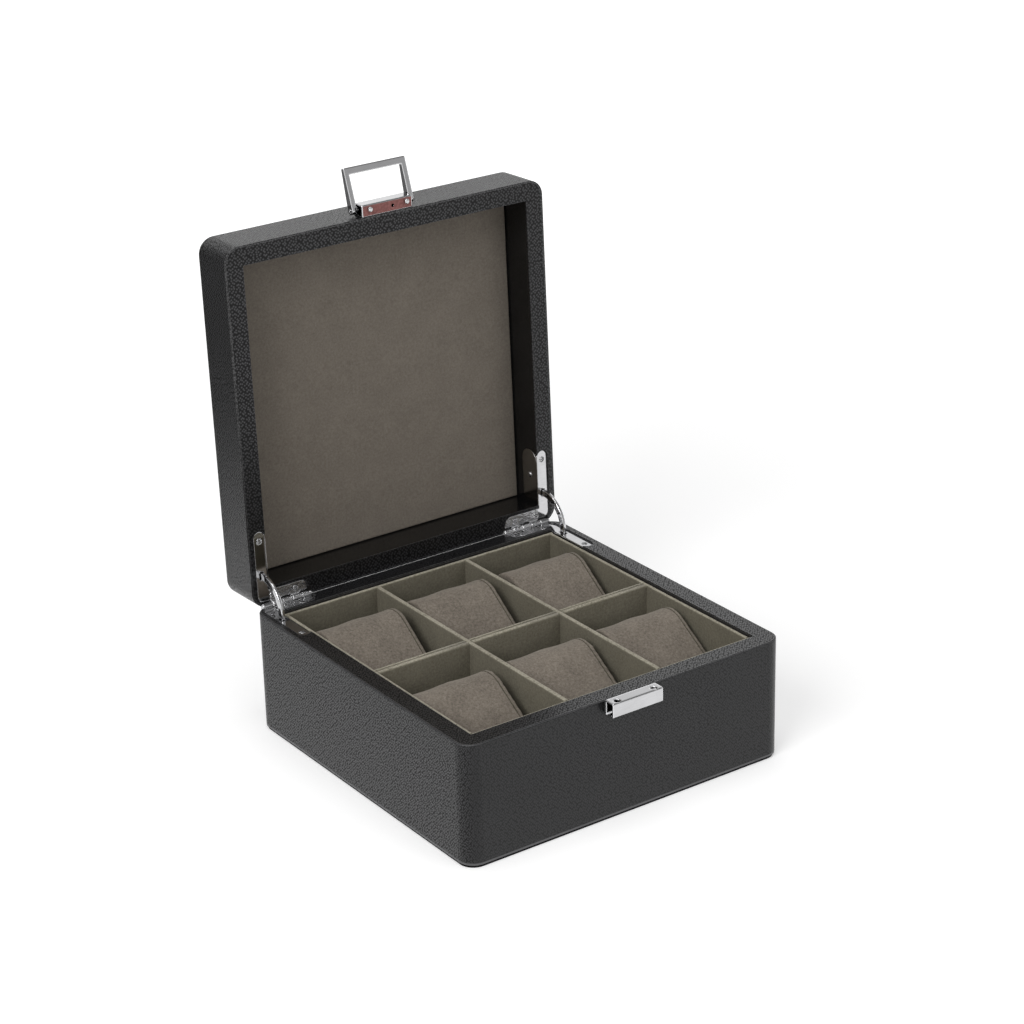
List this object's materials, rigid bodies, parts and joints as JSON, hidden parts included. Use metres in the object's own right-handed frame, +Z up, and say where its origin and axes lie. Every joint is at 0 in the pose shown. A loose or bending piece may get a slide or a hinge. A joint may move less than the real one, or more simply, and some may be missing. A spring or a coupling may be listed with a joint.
{
  "type": "watch box",
  "caption": "Leather-covered watch box with a lid on quadrant hinges with stays, a clasp with a swinging bail, and a divided suede tray of lift-out watch cushions.",
  "frame": {"origin": "on the floor, under the middle of the base's 220 x 220 mm footprint", "axes": "+X to the right along the front, +Y to the back where the hinges are, +Z up"},
  "size_m": [0.22, 0.2655, 0.3222],
  "materials": {
    "board": "plain, hidden under the leather",
    "grained_leather": "fine woven grain",
    "smooth_leather": "smooth, half gloss",
    "suede": "matt suede",
    "cushion_suede": "matt suede",
    "felt": "matt",
    "chrome": "mirror",
    "screw_steel": "bright",
    "buffer_hide": "matt"
  },
  "bodies": {
    "base": {"base_front_board": "board", "base_back_board": "board", "base_left_board": "board", "base_right_board": "board", "base_floor_board": "board", "base_side_leather": "grained_leather", "base_rim_leather": "grained_leather", "base_bottom_pad": "felt", "tray_floor_card": "suede", "tray_front_wall": "suede", "tray_back_wall": "suede", "tray_left_wall": "suede", "tray_right_wall": "suede", "tray_long_divider": "suede", "tray_left_divider": "suede", "tray_right_divider": "suede", "left_hinge_base_leaf": "chrome", "right_hinge_base_leaf": "chrome", "left_hinge_pin": "chrome", "right_hinge_pin": "chrome", "base_hinge_screws": "screw_steel", "base_catch": "chrome", "base_catch_screws": "screw_steel"},
    "lid": {"lid_front_board": "board", "lid_back_board": "board", "lid_left_board": "board", "lid_right_board": "board", "lid_top_board": "board", "lid_cover_leather": "grained_leather", "lid_rim_leather": "grained_leather", "lid_inner_lining": "smooth_leather", "lid_lining_panel": "suede", "left_hinge_lid_leaf": "chrome", "right_hinge_lid_leaf": "chrome", "lid_hinge_screws": "screw_steel", "lid_hasp": "chrome", "lid_hasp_buffer": "buffer_hide", "lid_locating_pins": "chrome", "lid_hasp_screws": "screw_steel", "bail_rod": "chrome"},
    "stays": {"left_stay": "chrome", "right_stay": "chrome", "stay_stop_pins": "chrome"},
    "bail_loop": {"bail": "chrome"},
    "back_left_cushion": {"back_left_cushion": "cushion_suede"},
    "back_middle_cushion": {"back_middle_cushion": "cushion_suede"},
    "back_right_cushion": {"back_right_cushion": "cushion_suede"},
    "front_left_cushion": {"front_left_cushion": "cushion_suede"},
    "front_middle_cushion": {"front_middle_cushion": "cushion_suede"},
    "front_right_cushion": {"front_right_cushion": "cushion_suede"}
  },
  "joints": [
    {"name": "lid_hinge", "type": "hinge", "parent": "base", "child": "lid", "pos_m": [0, 0.1096, 0.07525], "axis": [-1, 0, 0], "range_deg": [-92, 0]},
    {"name": "stay_swing", "type": "hinge", "parent": "base", "child": "stays", "pos_m": [0, 0.1096, 0.07525], "axis": [-1, 0, 0], "range_deg": [-46, 0]},
    {"name": "bail_swing", "type": "hinge", "parent": "lid", "child": "bail_loop", "pos_m": [0, 0.12463, 0.29806], "axis": [-1, 0, 0], "range_deg": [-107, 0]},
    {"name": "back_left_cushion_lift", "type": "slide", "parent": "base", "child": "back_left_cushion", "axis": [0, 0, 1], "range_m": [0, 0.07]},
    {"name": "back_middle_cushion_lift", "type": "slide", "parent": "base", "child": "back_middle_cushion", "axis": [0, 0, 1], "range_m": [0, 0.07]},
    {"name": "back_right_cushion_lift", "type": "slide", "parent": "base", "child": "back_right_cushion", "axis": [0, 0, 1], "range_m": [0, 0.07]},
    {"name": "front_left_cushion_lift", "type": "slide", "parent": "base", "child": "front_left_cushion", "axis": [0, 0, 1], "range_m": [0, 0.07]},
    {"name": "front_middle_cushion_lift", "type": "slide", "parent": "base", "child": "front_middle_cushion", "axis": [0, 0, 1], "range_m": [0, 0.07]},
    {"name": "front_right_cushion_lift", "type": "slide", "parent": "base", "child": "front_right_cushion", "axis": [0, 0, 1], "range_m": [0, 0.07]}
  ],
  "couplings": [
    {"joint": "stay_swing", "follows": "lid_hinge", "ratio": 0.5}
  ]
}
